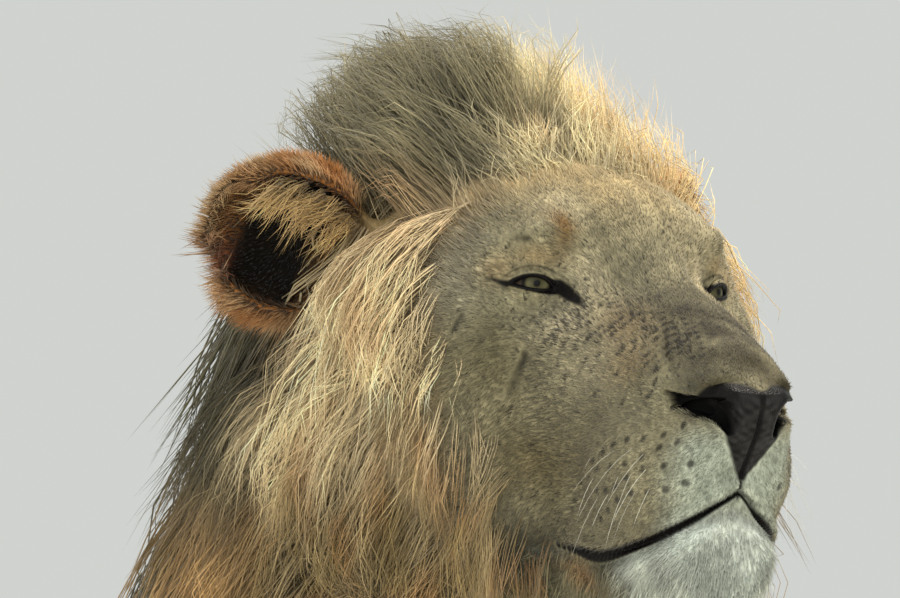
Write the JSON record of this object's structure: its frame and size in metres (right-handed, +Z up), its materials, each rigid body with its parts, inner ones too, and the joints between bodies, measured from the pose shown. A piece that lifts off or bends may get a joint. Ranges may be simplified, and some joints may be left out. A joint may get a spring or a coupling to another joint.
{
  "type": "lion",
  "caption": "Life-size standing male lion with a full mane, mouth closed and head turned to its left, a still model of the animal.",
  "frame": {"origin": "middle of the model's bounding box, on the floor under the feet", "axes": "+Z up, the body faces -Y, and its left side is +X; the head is turned 20 degrees towards +X"},
  "size_m": [0.472, 2.1976, 1.5021],
  "materials": {
    "short_coat": "short tawny fur",
    "face_coat": "short grey-tan fur",
    "chin_coat": "soft pale fur",
    "mane": "long straight hair, golden to dark brown",
    "ear_coat": "short rust-brown fur",
    "tuft_coat": "black-brown hair",
    "eye": "clear glossy eye over an olive-amber iris"
  },
  "bodies": {
    "root": {"ear_left": "ear_coat", "ear_right": "ear_coat", "eye_left": "eye", "eye_right": "eye", "fore_leg_lower_left": "short_coat", "fore_leg_lower_right": "short_coat", "fore_leg_upper_left": "short_coat", "fore_leg_upper_right": "short_coat", "fore_paw_left": "short_coat", "fore_paw_right": "short_coat", "head": "face_coat", "hind_leg_lower_left": "short_coat", "hind_leg_lower_right": "short_coat", "hind_leg_upper_left": "short_coat", "hind_leg_upper_right": "short_coat", "hind_paw_left": "short_coat", "hind_paw_right": "short_coat", "lower_jaw": "chin_coat", "neck": "mane", "tail": "short_coat", "tail_tuft": "tuft_coat", "trunk": "short_coat"}
  },
  "joints": []
}
